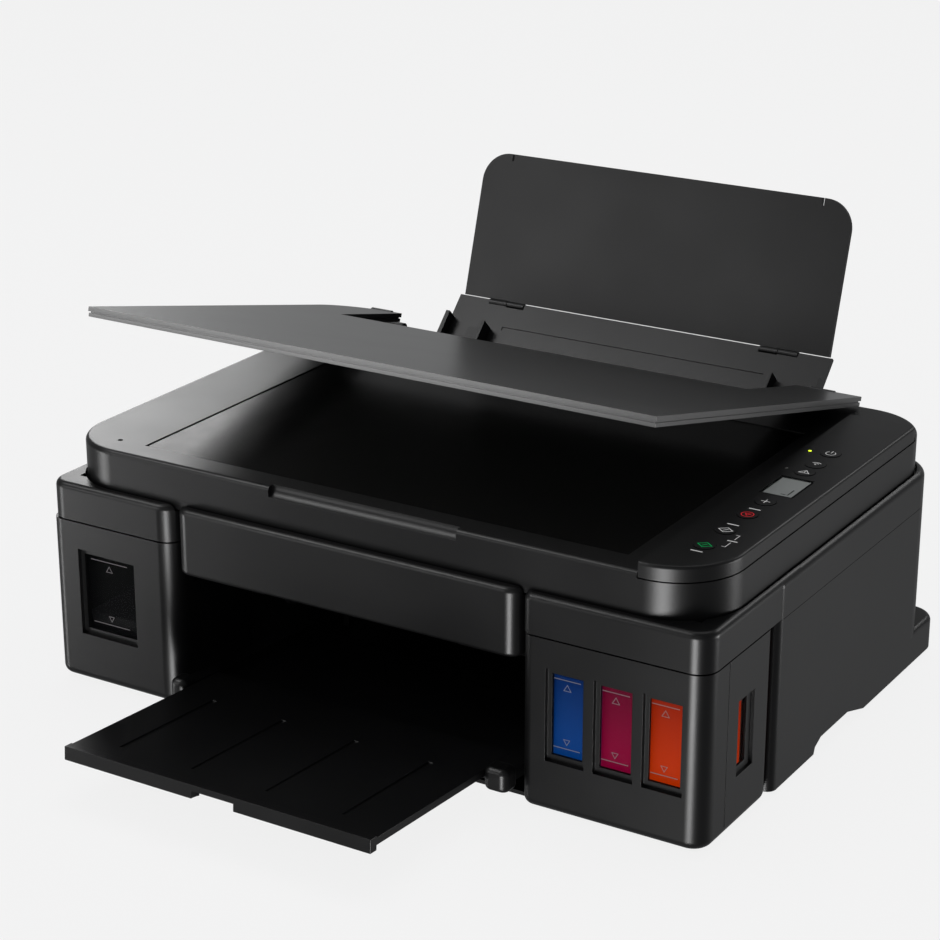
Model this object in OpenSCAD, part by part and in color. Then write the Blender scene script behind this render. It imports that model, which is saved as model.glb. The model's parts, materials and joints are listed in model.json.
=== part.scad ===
// Refillable ink-tank all-in-one inkjet printer, built as separate pieces.
// X to the right, Y to the back, Z up. Millimetres. The feet stand on Z = 0.

/* [Body] */
// width over the side panels
body_w = 445; // [370:1:540]
// depth from the tank fronts to the rear ledge
body_d = 330; // [275:1:400]
// height of the parting seam above the desk
seam_z = 108.4; // [104:0.1:125]
// wall thickness of the mouldings
wall = 2.5; // [2:0.1:3.5]
// height of the case underside above the desk
foot_z = 4; // [3:0.5:8]
// gap between neighbouring mouldings
gap = 0.6; // [0.4:0.1:1.2]

/* [Front blocks] */
// width of the left ink block
left_block_w = 94.4; // [80:0.1:110]
// width of the right ink block
right_block_w = 113.8; // [100:0.1:130]
// length of both front blocks, front to back
block_d = 84.5; // [78:0.5:100]
// width of each window recess
win_w = 24.4; // [18:0.1:26]
// distance between the colour windows
win_pitch = 29.8; // [28:0.1:34]
// height of each window recess
win_h = 55.5; // [40:0.5:62]
// distance from the seam down to the window recess
win_drop = 17.6; // [12:0.1:30]
// depth of the window recess
win_depth = 3; // [2:0.1:4]

/* [Scanner] */
// distance from the case side in to the scanner side
scan_inset = 4.5; // [2:0.5:20]
// height of the scanner housing above its underside
scan_h = 27.4; // [24:0.1:36]
// corner radius of the scanner housing in plan
scan_r = 40; // [20:1:60]
// height of the control panel above the scanner top
panel_rise = 5.5; // [3:0.1:9]
// thickness of the glass plate
glass_t = 2.4; // [2:0.1:4]
// document cover opening angle at rest
cover_open = 14; // [0:0.5:60]
// thickness of the document cover
cover_t = 6; // [4:0.1:10]

/* [Paper feed] */
// centre of the rear paper path
feed_x = -22; // [-40:1:20]
// half width of the paper support
support_hw = 139.6; // [115:0.1:150]
// height of the upper paper support panel
support_h = 101; // [80:1:130]
// lean of the paper support from vertical
support_tilt = 16.9; // [10:0.1:30]
// thickness of the paper support
support_t = 3; // [2:0.1:5]
// distance from the support's side in to each paper guide
guide_in = 31.6; // [28:0.1:35]
// reach of the rear tray beyond the rear ledge
rear_reach = 50.5; // [30:0.5:60]

/* [Output tray] */
// upward slope of the output tray
tray_slope = 4; // [0:0.5:5]
// reach of the tray extension beyond the tray
ext_reach = 105; // [80:1:115]

/* [Print mechanism] */
// radius of the carriage guide rod
rod_r = 4; // [3:0.1:6]
// running clearance of the carriage on its rod
rod_clear = 0.05; // [0.02:0.01:0.1]
// length of the carriage along its rod
carriage_w = 100; // [80:1:110]
// radius of the belt pulleys
pulley_r = 7; // [5:0.1:9]
// radius of the feed and eject rollers
roller_r = 6; // [5:0.1:8]
// radius of the drive pulleys on the rollers
drive_r = 9; // [7:0.1:11]

/* [Control panel] */
// radius of the round buttons
button_r = 6; // [4:0.1:7]
// clearance around each button
button_gap = 0.3; // [0.2:0.05:0.6]

/* [Hidden] */
$fn = 48;
e = 0.01;
xs = body_w / 2;
yf = -body_d / 2;
yb = body_d / 2;
xl = -xs + left_block_w;
xr = xs - right_block_w;
side_y = yf + block_d;
rear_y = yb - 16;
rear_r = 30;
side_r = 6;
ledge_z = 25.5;
floor_z = foot_z + wall;
top_z = seam_z + 23.4;
deck_z = seam_z + 19.2;
scan_z0 = deck_z + 1;
scan_z1 = scan_z0 + scan_h;
scan_hw = xs - scan_inset;
scan_y0 = yf + 7;
scan_y1 = rear_y + 3;
win_z1 = seam_z - win_drop;
win_z0 = win_z1 - win_h;
cyan_x = xr + 27.9;
magenta_x = cyan_x + win_pitch;
yellow_x = magenta_x + win_pitch;
black_x = -xs + 42.5;
black_w = win_w + 18.4;
tank_y0 = yf + 7;
tank_y1 = tank_y0 + 66;
tank_z0 = floor_z + 5;
tank_z1 = seam_z - 15.4;
tank_wall = 1.6;
tray_hw = support_hw + 2.9;
guide_hw = support_hw - guide_in;
bend_y = yb + rear_reach;
bend_z = scan_z1 + 6.5;
ramp_l = 71;
glass_x0 = -xs + 56.5;
glass_x1 = xs - 62.5;
glass_y0 = scan_y0 + 18;
glass_y1 = scan_y1 - 66;
panel_x0 = xs - 47.5;
panel_y1 = scan_y1 - 34;
panel_z0 = scan_z1 - 3.4;
panel_z1 = scan_z1 + panel_rise;
cover_x0 = -scan_hw + 4.6;
cover_x1 = panel_x0 - 6;
cover_y1 = scan_y1 - 4;
cover_y0 = scan_y0 + 20;
cover_cut = cover_y1 - 76;
cover_z0 = scan_z1 + 1;
hinge_z = cover_z0 + 3.5;
notch_x0 = feed_x - tray_hw - 5;
notch_x1 = feed_x + tray_hw + 5;
scan_hinge_y = scan_y1 - 2;
scan_hinge_z = scan_z0 + 1.4;
lug_w = 3.7;
mouth_y = rear_y - 50;
screw_in = 14;
screw_y = [side_y + screw_in, rear_y - 53];
block_in = 0.5;
right_lid = [xr + 8, xs - 13];
left_lid = [-xs + 13, xl - 8];
service_x0 = -138;
service_x1 = 100;
inlet_x0 = xs - 60;
inlet_x1 = xs - 38;
inlet_z0 = 63;
inlet_z1 = 79;
board_z = 28.1;
board_t = 1.6;
filler_y = tank_y0 + 42;
cap_pin_y = tank_y1 - 6;
cap_pin_z = tank_z1 + 4.3;
outlet_z = tank_z0 + 5;
rod_y = rear_y - 108;
rod_z = 88;
plate_y = rod_y + 15;
carriage_x = xs - 32.5 - carriage_w / 2;
carriage_y0 = rod_y - 75;
carriage_y1 = rod_y - 7;
lock_z = 95;
pulley_x = xs - 22.5;
belt_z = rod_z + 18;
roll_z = 39;
feed_y = plate_y + 1;
eject_y = feed_y - 104;
pickup_y = rear_y - 30;
pickup_z = 92;
drive_x = xl + 3;
drive_w = 5;
belt_pitch = 7;
belt_run = 34;
belt_drop = 14;
hinge_x = support_hw - 35.6;
knuckle_w = 14;
knuckle_r = 2.6;
pin_r = 1;
rail_l = 40;
chute_hw = tray_hw - 12.5;
lip_y = yf - 12;
tray_z = 24.5;
ext_x0 = xl + 14;
ext_x1 = xr - 18;
tray_back = (eject_y + 6.67 - lip_y - 1) / cos(tray_slope);
button_x = panel_x0 + 19.6;
power_y = scan_y0 + 204.5;
wireless_y = scan_y0 + 183;
info_y = scan_y0 + 168.5;
display_y = scan_y0 + 142;
plus_y = scan_y0 + 114;
stop_y = scan_y0 + 91;
start_black_y = scan_y0 + 64;
start_color_y = scan_y0 + 39;
oy = -((bend_y + support_h * sin(support_tilt) + support_t * cos(support_tilt))
     + (lip_y + 1 - (ext_reach + 5.2) * cos(tray_slope))) / 2;

BLACK = [0.075, 0.075, 0.082];
BLACK2 = [0.11, 0.11, 0.118];
STEEL = [0.66, 0.67, 0.69];

// ---------- helpers ----------
module place() { translate([0, oy, 0]) children(); }

module box(x0, x1, y0, y1, z0, z1) {
  translate([x0, y0, z0]) cube([x1 - x0, y1 - y0, z1 - z0]);
}

// plan rectangle with one radius at the front corners and another at the rear
module plan(x0, x1, y0, y1, rf, rr) {
  translate([x0 + rf, y0]) square([x1 - x0 - 2 * rf, y1 - y0 - rr]);
  translate([x0, y0 + rf]) square([x1 - x0, y1 - y0 - rr - rf]);
  translate([x0 + rr, y1 - rr - 1]) square([x1 - x0 - 2 * rr, rr + 1]);
  for (x = [x0 + rf, x1 - rf]) translate([x, y0 + rf]) circle(rf);
  for (x = [x0 + rr, x1 - rr]) translate([x, y1 - rr]) circle(rr);
}

module rbox(x0, x1, y0, y1, z0, z1, r) {
  translate([0, 0, z0]) linear_extrude(z1 - z0) plan(x0, x1, y0, y1, r, r);
}

// rectangle from a to b, 0 to h, with rounded top corners rt and bottom corners rb
module section(a, b, h, rt, rb) {
  translate([a, rb]) square([b - a, h - rt - rb]);
  if (rt > 0) {
    translate([a + rt, h - rt - e]) square([b - a - 2 * rt, rt + e]);
    for (x = [a + rt, b - rt]) translate([x, h - rt]) circle(rt);
  }
  if (rb > 0) {
    translate([a + rb, 0]) square([b - a - 2 * rb, rb + e]);
    for (x = [a + rb, b - rb]) translate([x, rb]) circle(rb);
  }
}

// box with vertical corners R and rounded top and bottom edges
module pill(x0, x1, y0, y1, z0, z1, R, rt, rb = 0) {
  for (x = [x0 + R, x1 - R], y = [y0 + R, y1 - R])
    translate([x, y, z0]) rotate_extrude()
      intersection() { section(-R, R, z1 - z0, rt, rb); square([R + 1, z1 - z0 + 1]); }
  translate([x0 + R, 0, z0]) rotate([90, 0, 90])
    linear_extrude(x1 - x0 - 2 * R) section(y0, y1, z1 - z0, rt, rb);
  translate([0, y1 - R, z0]) rotate([90, 0, 0])
    linear_extrude(y1 - y0 - 2 * R) section(x0, x1, z1 - z0, rt, rb);
}

module case_plan(i) { plan(-xs + i, xs - i, side_y + i, rear_y - i, side_r - i / 2, rear_r - i); }

module scan_plan(i) { plan(-scan_hw + i, scan_hw - i, scan_y0 + i, scan_y1 - i, scan_r - i, scan_r - i); }

module rod_x(x0, x1, y, z, r) { translate([x0, y, z]) rotate([0, 90, 0]) cylinder(r = r, h = x1 - x0); }
module rod_y(x, y0, y1, z, r) { translate([x, y1, z]) rotate([90, 0, 0]) cylinder(r = r, h = y1 - y0); }
module rod_z(x, y, z0, z1, r) { translate([x, y, z0]) cylinder(r = r, h = z1 - z0); }

// ---------- lower case ----------
module grip_cut() {
  // shallow hand grip in each side panel's lower edge
  for (x = [-xs - 1, xs - 12]) translate([x, 0, 0]) rotate([90, 0, 90]) linear_extrude(13)
    polygon([[-24, foot_z - 1], [-22, foot_z + 4], [-14, foot_z + 7.5], [24, foot_z + 7.5],
             [50, foot_z - 0.5], [50, foot_z - 1]]);
}

module base_case() {
  color(BLACK) place() difference() {
    union() {
      difference() {
        union() {
          translate([0, 0, foot_z]) linear_extrude(seam_z - foot_z) case_plan(0);
          pill(-xs, xs, 0, yb, foot_z, ledge_z, 16, 4);
          box(xl + gap, xr - gap, yf + 10, side_y + 20, foot_z, floor_z);
        }
        translate([0, 0, floor_z]) linear_extrude(seam_z) case_plan(wall);
        rbox(-xs + wall, xs - wall, 20, yb - wall, floor_z, ledge_z - wall, 13);
        box(-xs + 12, xs - 12, side_y - 1, side_y + wall + 1, floor_z, seam_z + 1);
        box(feed_x - tray_hw - 2, feed_x + tray_hw + 2, rear_y - wall - 1, rear_y + 1, 98, seam_z + 1);
        grip_cut();
      }
      // screw bosses and board posts
      for (x = [-xs + screw_in, xs - screw_in], y = screw_y) rod_z(x, y, foot_z, floor_z + 6, 4);
      for (x = [-xs + 16, -xs + 54], y = [rear_y - 93, rear_y - 31]) rod_z(x, y, foot_z, board_z - 0.1, 2.5);
    }
    for (x = [-xs + screw_in, xs - screw_in], y = screw_y) {
      rod_z(x, y, foot_z - 1, floor_z + 7, 1.6);
      rod_z(x, y, foot_z - 1, foot_z + 2, 3.4);
    }
    // openings for the mains socket and the data socket
    box(inlet_x0 - 0.3, inlet_x1 + 0.3, rear_y - wall - 1, rear_y + 1, inlet_z0 - 0.3, inlet_z1 + 0.3);
    box(-xs + 26, -xs + 41, rear_y - wall - 1, rear_y + 1, 29, 44.5);
    // opening behind the rear access cover
    box(service_x0 + 8, service_x1 - 8, rear_y - wall - 1, rear_y + 1, 32, 90);
    // vent slots under the floor
    for (i = [0:7]) box(60 + i * 8, 64 + i * 8, rear_y - 79, rear_y - 39, foot_z - 1, floor_z + 1);
  }
}

// recess with a smaller opening through its floor
module win_front(x, w) {
  box(x - w / 2, x + w / 2, yf - 1, yf + win_depth, win_z0, win_z1);
  box(x - w / 2 + 2.6, x + w / 2 - 2.6, yf - 1, yf + 12, win_z0 + 3.4, win_z1 - 3.4);
}

module tank_housing_right() {
  x1 = xs - block_in;
  color(BLACK) place() difference() {
    union() {
      pill(xr, x1, yf, side_y - gap, foot_z, seam_z - gap, 12, 0, 6);
      pill(xr, xr + 60, yf, side_y - gap, foot_z, seam_z - gap, 7, 0, 6);
    }
    rbox(xr + wall, x1 - wall - 1, yf + 5, side_y + 20, foot_z + 4, seam_z + 1, 7);
    for (x = [cyan_x, magenta_x, yellow_x]) win_front(x, win_w);
    // side window on the outer face
    box(x1 - 2, x1 + 1, yf + 38, yf + 58, win_z0 - 0.5, win_z1 - 11);
    box(x1 - 5, x1 + 1, yf + 40.5, yf + 52, win_z0 + 3.6, win_z1 - 13);
    // scribed joint of the side cover
    box(x1 - 0.7, x1 + 1, yf + 25, yf + 25.7, foot_z + 6, seam_z);
    // tube holes in the rear
    for (x = [cyan_x, magenta_x, yellow_x]) rod_y(x, side_y - 20, side_y + 1, 40, 3);
  }
}

module tank_housing_left() {
  x0 = -xs + block_in;
  color(BLACK) place() difference() {
    union() {
      pill(x0, xl, yf, side_y - gap, foot_z, seam_z - gap, 12, 0, 6);
      pill(x0, x0 + 50, yf, side_y - gap, foot_z, seam_z - gap, 9, 0, 6);
    }
    rbox(x0 + wall, xl - wall - 1, yf + 5, side_y + 20, foot_z + 4, seam_z + 1, 7);
    win_front(black_x, black_w);
    // step and small pocket on the inner side
    box(xl - 1.2, xl + 1, yf + 18, side_y + 1, 30, seam_z + 1);
    box(xl - 2.6, xl + 1, yf + 18, yf + 34, seam_z - 30, seam_z - 20);
    rod_y(black_x, side_y - 20, side_y + 1, 40, 3);
  }
}

// clear pane at the back of a recess
module pane(x, w) {
  box(x - w / 2 + 2.7, x + w / 2 - 2.7, yf + win_depth - 0.2, yf + 4.6, win_z0 + 3.5, win_z1 - 3.5);
}
module tank_windows() {
  color([0.5, 0.5, 0.52, 0.35]) place() {
    for (x = [cyan_x, magenta_x, yellow_x]) pane(x, win_w);
    pane(black_x, black_w);
    box(xs - 3.7, xs - 2.5, yf + 40.6, yf + 51.9, win_z0 + 3.7, win_z1 - 13.1);
  }
}

// ---------- upper case ----------
module lid_cut(lid) { box(lid[0], lid[1], scan_y0 + 8, side_y - 8, deck_z - wall - 1, top_z + 1); }

module upper_case() {
  z0 = seam_z + gap / 2;
  color(BLACK) place() difference() {
    union() {
      pill(-xs, xs, side_y, rear_y, z0, top_z, rear_r, 5);
      pill(-xs, xs, side_y, side_y + 110, z0, top_z, side_r, 5);
      pill(xr, xs - block_in, yf, side_y + 40, z0, top_z, 12, 4);
      pill(xr, xr + 60, yf, side_y + 40, z0, top_z, 6, 4);
      pill(-xs + block_in, xl, yf, side_y + 40, z0, top_z, 12, 4);
      box(xl - 5, xr + 5, yf + 20, side_y + 5, deck_z - 5, deck_z);
    }
    translate([0, 0, z0 - 1]) linear_extrude(deck_z - wall - z0 + 1) case_plan(wall);
    rbox(xr + wall, xs - block_in - wall, yf + wall, side_y + 12, z0 - 1, deck_z - wall, 9);
    rbox(-xs + block_in + wall, xl - wall, yf + wall, side_y + 12, z0 - 1, deck_z - wall, 9);
    // seat for the scanner
    translate([0, 0, deck_z]) linear_extrude(20) scan_plan(-1.4);
    // access opening over the print carriage
    rbox(-xs + 55, xs - 64, side_y + 12, mouth_y - 7, z0 - 1, top_z + 1, 8);
    // mouth of the rear paper path
    box(notch_x0 + 1, notch_x1 - 1, mouth_y, rear_y + 1, z0 - 1, top_z + 1);
    // space between the blocks, under the cross member
    box(xl - e, xr + e, yf - 1, yf + 20, z0 - 1, top_z + 1);
    lid_cut(right_lid);
    lid_cut(left_lid);
  }
  color(BLACK) place() difference() {
    // hinge lugs that carry the scanner's pins
    for (x = [notch_x0 + 0.7, notch_x1 - 0.7 - lug_w])
      box(x, x + lug_w, rear_y - 5, scan_y1 + 0.5, top_z - 14, scan_hinge_z + 3.5);
    rod_x(notch_x0, notch_x1, scan_hinge_y, scan_hinge_z, 1.25);
  }
}

module tank_lid(lid) {
  x0 = lid[0];
  x1 = lid[1];
  difference() {
    union() {
      box(x0 + 0.5, x1 - 0.5, scan_y0 + 8.5, side_y - 8.5, deck_z - wall, deck_z - 0.1);
      box(x0 + 6, x1 - 6, side_y - 18, side_y - 14, deck_z - wall - 3, deck_z - wall);
    }
    // finger dip
    box((x0 + x1) / 2 - 12, (x0 + x1) / 2 + 12, scan_y0 + 14, scan_y0 + 22, deck_z - 1, deck_z + 1);
  }
}
module tank_cover_right() { color(BLACK2) place() tank_lid(right_lid); }
module tank_cover_left() { color(BLACK2) place() tank_lid(left_lid); }

// ---------- centre front panel ----------
module front_panel() {
  z0 = seam_z - 17.4;
  color(BLACK) place() difference() {
    union() {
      pill(xl + 1.6, xr - 1.6, yf - 0.5, yf + 19.5, z0, top_z + 0.6, 9, 3.5, 3);
      box(xl + 8, xr - 8, yf + 10, yf + 34, z0 + 2, z0 + 5);
    }
    // seat for the scanner
    translate([0, 0, deck_z]) linear_extrude(20) scan_plan(-1.4);
    // hollow back
    box(xl + 6, xr - 6, yf + 4, yf + 17, z0 + 8, deck_z - 4);
    // finger slot along the lower edge
    box(xl + 65, xr - 40, yf - 2, yf + 3.2, z0 - 1, z0 + 1.2);
  }
}

module rubber_feet() {
  color([0.05, 0.05, 0.05]) place()
    for (x = [-xs + 40, xs - 40], y = [yf + 30, 30, yb - 20])
      difference() {
        rod_z(x, y, 0, foot_z - 0.02, 9);
        rod_z(x, y, -1, 0.8, 5);
      }
}

module case_screws() {
  color(STEEL) place()
    for (x = [-xs + screw_in, xs - screw_in], y = screw_y) difference() {
      union() {
        rod_z(x, y, foot_z + 0.2, foot_z + 1.95, 3);
        rod_z(x, y, foot_z + 1, floor_z + 5, 1.5);
      }
      translate([x, y, foot_z]) cylinder(r = 1.4, h = 1.2, $fn = 6);
    }
}

module rear_access_cover() {
  color(BLACK) place() difference() {
    union() {
      pill(service_x0, service_x1, rear_y + 0.4, yb - 1.5, 27, 96, 6, 4, 2);
      for (x = [service_x0 + 18, service_x1 - 24]) box(x, x + 12, rear_y - 4, rear_y + 2, 33, 36);
    }
    box(service_x0 + 4, service_x1 - 4, rear_y - 10, yb - 4, 37, 92);
    // grip bars on the rear face
    for (i = [0:4]) box(-40 + i * 10, -35 + i * 10, yb - 2.3, yb, 55, 70);
  }
}

// ---------- ink system ----------
module tank(x, w) {
  difference() {
    union() {
      rbox(x - w / 2, x + w / 2, tank_y0, tank_y1, tank_z0, tank_z1, 3);
      rod_z(x, filler_y, tank_z1 - 1, tank_z1 + 3, 6);
      rod_y(x, tank_y1 - 1, tank_y1 + 6, outlet_z, 2.4);
      box(x - 4, x + 4, tank_y1 - 8, tank_y1 - 4, tank_z1 - 1, tank_z1 + 2);
    }
    rbox(x - w / 2 + tank_wall, x + w / 2 - tank_wall, tank_y0 + tank_wall, tank_y1 - tank_wall,
         tank_z0 + tank_wall, tank_z1 - tank_wall, 2);
    rod_z(x, filler_y, tank_z1 - 5, tank_z1 + 4, 3.4);
    rod_y(x, tank_y1 - 5, tank_y1 + 7, outlet_z, 1.5);
  }
}
module ink(x, w, level) {
  rbox(x - w / 2 + tank_wall + 0.2, x + w / 2 - tank_wall - 0.2, tank_y0 + tank_wall + 0.2,
       tank_y1 - tank_wall - 0.2, tank_z0 + tank_wall + 0.2, level, 1.9);
}
module ink_tanks() {
  color([0.8, 0.8, 0.8, 0.5]) place() {
    for (x = [cyan_x, magenta_x, yellow_x]) tank(x, win_w + 4);
    tank(black_x, black_w + 4);
  }
}
module ink_cyan() { color([0.0, 0.2, 0.6]) place() ink(cyan_x, win_w + 4, win_z1 - 7); }
module ink_magenta() { color([0.65, 0.0, 0.3]) place() ink(magenta_x, win_w + 4, win_z1 - 5); }
module ink_yellow() { color([0.85, 0.3, 0.0]) place() ink(yellow_x, win_w + 4, win_z1 - 4); }
module ink_black() { color([0.02, 0.02, 0.03]) place() ink(black_x, black_w + 4, win_z0 + 12); }

// rubber plug on a lever that swings up about a pin behind the filler neck
module plug(x) {
  difference() {
    union() {
      rod_z(x, filler_y, tank_z1 + 3.2, tank_z1 + 5.4, 7.5);
      rod_z(x, filler_y, tank_z1 + 0.8, tank_z1 + 4, 2.5);
      box(x - 3.5, x + 3.5, filler_y, tank_y1 - 4.6, tank_z1 + 3.2, tank_z1 + 5.4);
      box(x - 3, x + 3, tank_y0 + 30, tank_y0 + 38, tank_z1 + 3.6, tank_z1 + 5);
      rod_x(x - 3.5, x + 3.5, cap_pin_y, cap_pin_z, 1.9);
    }
    rod_x(x - 5, x + 5, cap_pin_y, cap_pin_z, 0.8);
  }
}
module cap_cyan() { color([0.0, 0.25, 0.65]) place() plug(cyan_x); }
module cap_magenta() { color([0.7, 0.0, 0.35]) place() plug(magenta_x); }
module cap_yellow() { color([0.9, 0.6, 0.0]) place() plug(yellow_x); }
module cap_black() { color([0.1, 0.1, 0.1]) place() plug(black_x); }

module tube(x, i) {
  y0 = tank_y1 + 6.2;
  y1 = side_y + 10;
  z1 = deck_z - 6.5;
  y2 = plate_y + 6 + i * 4;
  x2 = feed_x + 20;
  r = 1.4;
  rod_y(x, y0, y1, outlet_z, r);
  translate([x, y1, outlet_z]) sphere(r);
  rod_z(x, y1, outlet_z, z1, r);
  translate([x, y1, z1]) sphere(r);
  rod_y(x, y1, y2, z1, r);
  translate([x, y2, z1]) sphere(r);
  rod_x(min(x, x2), max(x, x2), y2, z1, r);
}
module ink_tubes() {
  color([0.75, 0.75, 0.72]) place() {
    tube(cyan_x, 0);
    tube(magenta_x, 1);
    tube(yellow_x, 2);
    tube(black_x, 3);
  }
}

// ---------- print mechanism ----------
module chassis() {
  color(STEEL) place() difference() {
    union() {
      box(-xs + 8, xs - 8, plate_y, plate_y + 1.5, 58, rod_z + 30);
      box(-xs + 8, xs - 8, plate_y - 13, plate_y + 1.5, rod_z + 28.5, rod_z + 30);
      for (x = [-xs + 6.5, xs - 8]) {
        box(x, x + 1.5, rod_y - 10, plate_y + 1.5, 40, rod_z + 30);
        box(x - 1, x + 2.5, plate_y, plate_y + 12, foot_z + wall, 60);
      }
      rod_x(-xs + 6.6, xs - 6.6, rod_y, rod_z, rod_r);
      // paper chute behind the feed roller
      translate([feed_x - chute_hw, rear_y - 5, 94]) rotate([45, 0, 0])
        translate([0, -42, -1.5]) cube([2 * chute_hw, 42, 1.5]);
      // arms that hold the chute
      for (x = [feed_x - chute_hw + 10, feed_x + chute_hw - 12]) box(x, x + 2, plate_y, rear_y - 28, 66, 72);
    }
    // shaft holes for the belt pulleys
    for (x = [-pulley_x, pulley_x]) rod_y(x, plate_y - 1, plate_y + 3, belt_z, 2);
    for (i = [-3:3]) rod_y(i * 48, plate_y - 1, plate_y + 3, 70, 5);
  }
}

module carriage() {
  x0 = carriage_x - carriage_w / 2;
  x1 = carriage_x + carriage_w / 2;
  y0 = carriage_y0;
  y1 = carriage_y1;
  color(BLACK2) place() difference() {
    union() {
      rbox(x0, x1, y0, y1, 58, 92, 3);
      box(x0 + 6, x1 - 6, y1 - 1, rod_y + 6.5, rod_z - 6.5, rod_z + 6.5);
      box(x0 + 2, x1 - 2, y1 - 8, y1, 80, 100);
    }
    for (i = [0, 1]) {
      xa = x0 + 4 + i * (carriage_w / 2 - 2);
      box(xa, xa + carriage_w / 2 - 6, y0 + 3, y1 - 10, 55, 101);
    }
    rod_x(x0, x1, rod_y, rod_z, rod_r + rod_clear);
  }
}

module print_heads() {
  x0 = carriage_x - carriage_w / 2;
  y0 = carriage_y0;
  y1 = carriage_y1;
  color([0.16, 0.16, 0.17]) place() for (i = [0, 1]) {
    xa = x0 + 4.4 + i * (carriage_w / 2 - 2);
    xb = xa + carriage_w / 2 - 6.8;
    box(xa, xb, y0 + 3.4, y1 - 10.4, 57, 88);
    box(xa + 6, xb - 6, y0 + 14, y1 - 22, 51, 57.5);
  }
}

module head_lock() {
  x0 = carriage_x - carriage_w / 2;
  y0 = carriage_y0;
  color([0.3, 0.3, 0.32]) place() union() {
    box(x0 + 3, x0 + carriage_w - 3, y0 + 1, y0 + 52, lock_z - 2, lock_z + 0.5);
    rod_x(x0 + 3, x0 + carriage_w - 3, y0 + 52, lock_z, 2);
    box(carriage_x - 14, carriage_x + 14, y0 - 3, y0 + 2, lock_z - 2, lock_z + 0.5);
  }
}

module belt_loop(d, r, t) {
  // loop round two pulleys of radius r, d apart along the first axis
  difference() {
    union() {
      for (s = [0, d]) translate([s, 0]) circle(r + t);
      translate([0, -r - t]) square([d, 2 * r + 2 * t]);
    }
    for (s = [0, d]) translate([s, 0]) circle(r);
    translate([0, -r]) square([d, 2 * r]);
  }
}

module carriage_belt() {
  color([0.05, 0.05, 0.05]) place()
    translate([-pulley_x, plate_y - 2, belt_z]) rotate([90, 0, 0])
      linear_extrude(4) belt_loop(2 * pulley_x, pulley_r + 0.35, 0.9);
}

module belt_pulley(x, back) {
  translate([x, plate_y - 1.5, belt_z]) rotate([90, 0, 0]) cylinder(r = pulley_r, h = 5);
  translate([x, plate_y + back, belt_z]) rotate([90, 0, 0]) cylinder(r = 1.5, h = back + 6.5);
}
module motor_pulley() { color(STEEL) place() belt_pulley(pulley_x, 3.2); }
module idler_pulley() { color(STEEL) place() belt_pulley(-pulley_x, 3.2); }

module carriage_motor() {
  color([0.55, 0.55, 0.57]) place() union() {
    rod_y(pulley_x, plate_y + 4, plate_y + 26, belt_z, 11);
    rod_y(pulley_x, plate_y + 26, plate_y + 30, belt_z, 4);
  }
}

// belt wheel in the first or the second belt's plane
module drive_wheel(i, y, z, r) {
  x = drive_x - 4 - i * belt_pitch;
  rod_x(x, x + drive_w, y, z, r);
}
module feed_roller() {
  color([0.2, 0.2, 0.2]) place() union() {
    rod_x(drive_x - 12, xr - 10, feed_y, roll_z, 3);
    for (i = [0:floor((xr - xl - 20) / 34) - 1])
      rod_x(xl + 24 + i * 34, xl + 44 + i * 34, feed_y, roll_z, roller_r);
    for (i = [0, 1]) drive_wheel(i, feed_y, roll_z, drive_r);
  }
}
module eject_roller() {
  color([0.2, 0.2, 0.2]) place() union() {
    rod_x(drive_x - 6, xr - 10, eject_y, roll_z, 3);
    for (i = [0:floor((xr - xl - 20) / 34) - 1])
      rod_x(xl + 30 + i * 34, xl + 38 + i * 34, eject_y, roll_z, roller_r);
    drive_wheel(0, eject_y, roll_z, drive_r);
  }
}
module feed_pulley() {
  color(STEEL) place() union() {
    drive_wheel(1, feed_y + belt_run, roll_z - belt_drop, 5);
    rod_x(drive_x - 16, drive_x - 6, feed_y + belt_run, roll_z - belt_drop, 1.5);
  }
}
module feed_motor() {
  color([0.55, 0.55, 0.57]) place() difference() {
    rod_x(drive_x - 34, drive_x - 14, feed_y + belt_run, roll_z - belt_drop, 14);
    rod_x(drive_x - 18, drive_x - 13, feed_y + belt_run, roll_z - belt_drop, 2);
  }
}
module drive_belts() {
  ang = atan2(-belt_drop, belt_run);
  color([0.05, 0.05, 0.05]) place() union() {
    // eject roller belt, lying along Y
    translate([drive_x - 3.5, eject_y, roll_z]) rotate([90, 0, 90])
      linear_extrude(4) belt_loop(feed_y - eject_y, drive_r + 0.35, 0.9);
    // motor belt, inclined; the small pulley has a matching slack loop
    translate([drive_x - 3.5 - belt_pitch, feed_y, roll_z]) rotate([ang, 0, 0]) rotate([90, 0, 90])
      linear_extrude(4) belt_loop(norm([belt_run, belt_drop]), drive_r + 0.35, 0.9);
  }
}
module pickup_roller() {
  color([0.25, 0.25, 0.26]) place() union() {
    rod_x(feed_x - 40, feed_x + 60, pickup_y, pickup_z, 3);
    rod_x(feed_x - 12, feed_x + 12, pickup_y, pickup_z, 13);
  }
}
module platen() {
  color(BLACK2) place() union() {
    difference() {
      box(xl + 18, xr - 14, eject_y + 9, feed_y - 9, 34, 42);
      box(xl + 30, xr - 26, eject_y + 20, feed_y - 20, 36, 43);
    }
    for (i = [0:floor((xr - xl - 38) / 19)])
      box(xl + 22 + i * 19, xl + 24 + i * 19, eject_y + 10, feed_y - 10, 34, 45);
    for (x = [xl + 20, xr - 20]) box(x - 2, x + 2, eject_y + 30, eject_y + 36, floor_z, 36);
  }
}
module purge_unit() {
  x0 = carriage_x - 42;
  y0 = rod_y - 66;
  color([0.22, 0.22, 0.23]) place() union() {
    box(x0, x0 + 84, y0, y0 + 44, floor_z, 40);
    for (i = [0, 1]) difference() {
      box(x0 + 6 + i * 46, x0 + 32 + i * 46, y0 + 8, y0 + 36, 39, 48);
      box(x0 + 8 + i * 46, x0 + 30 + i * 46, y0 + 10, y0 + 34, 43, 49);
    }
  }
}
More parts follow.
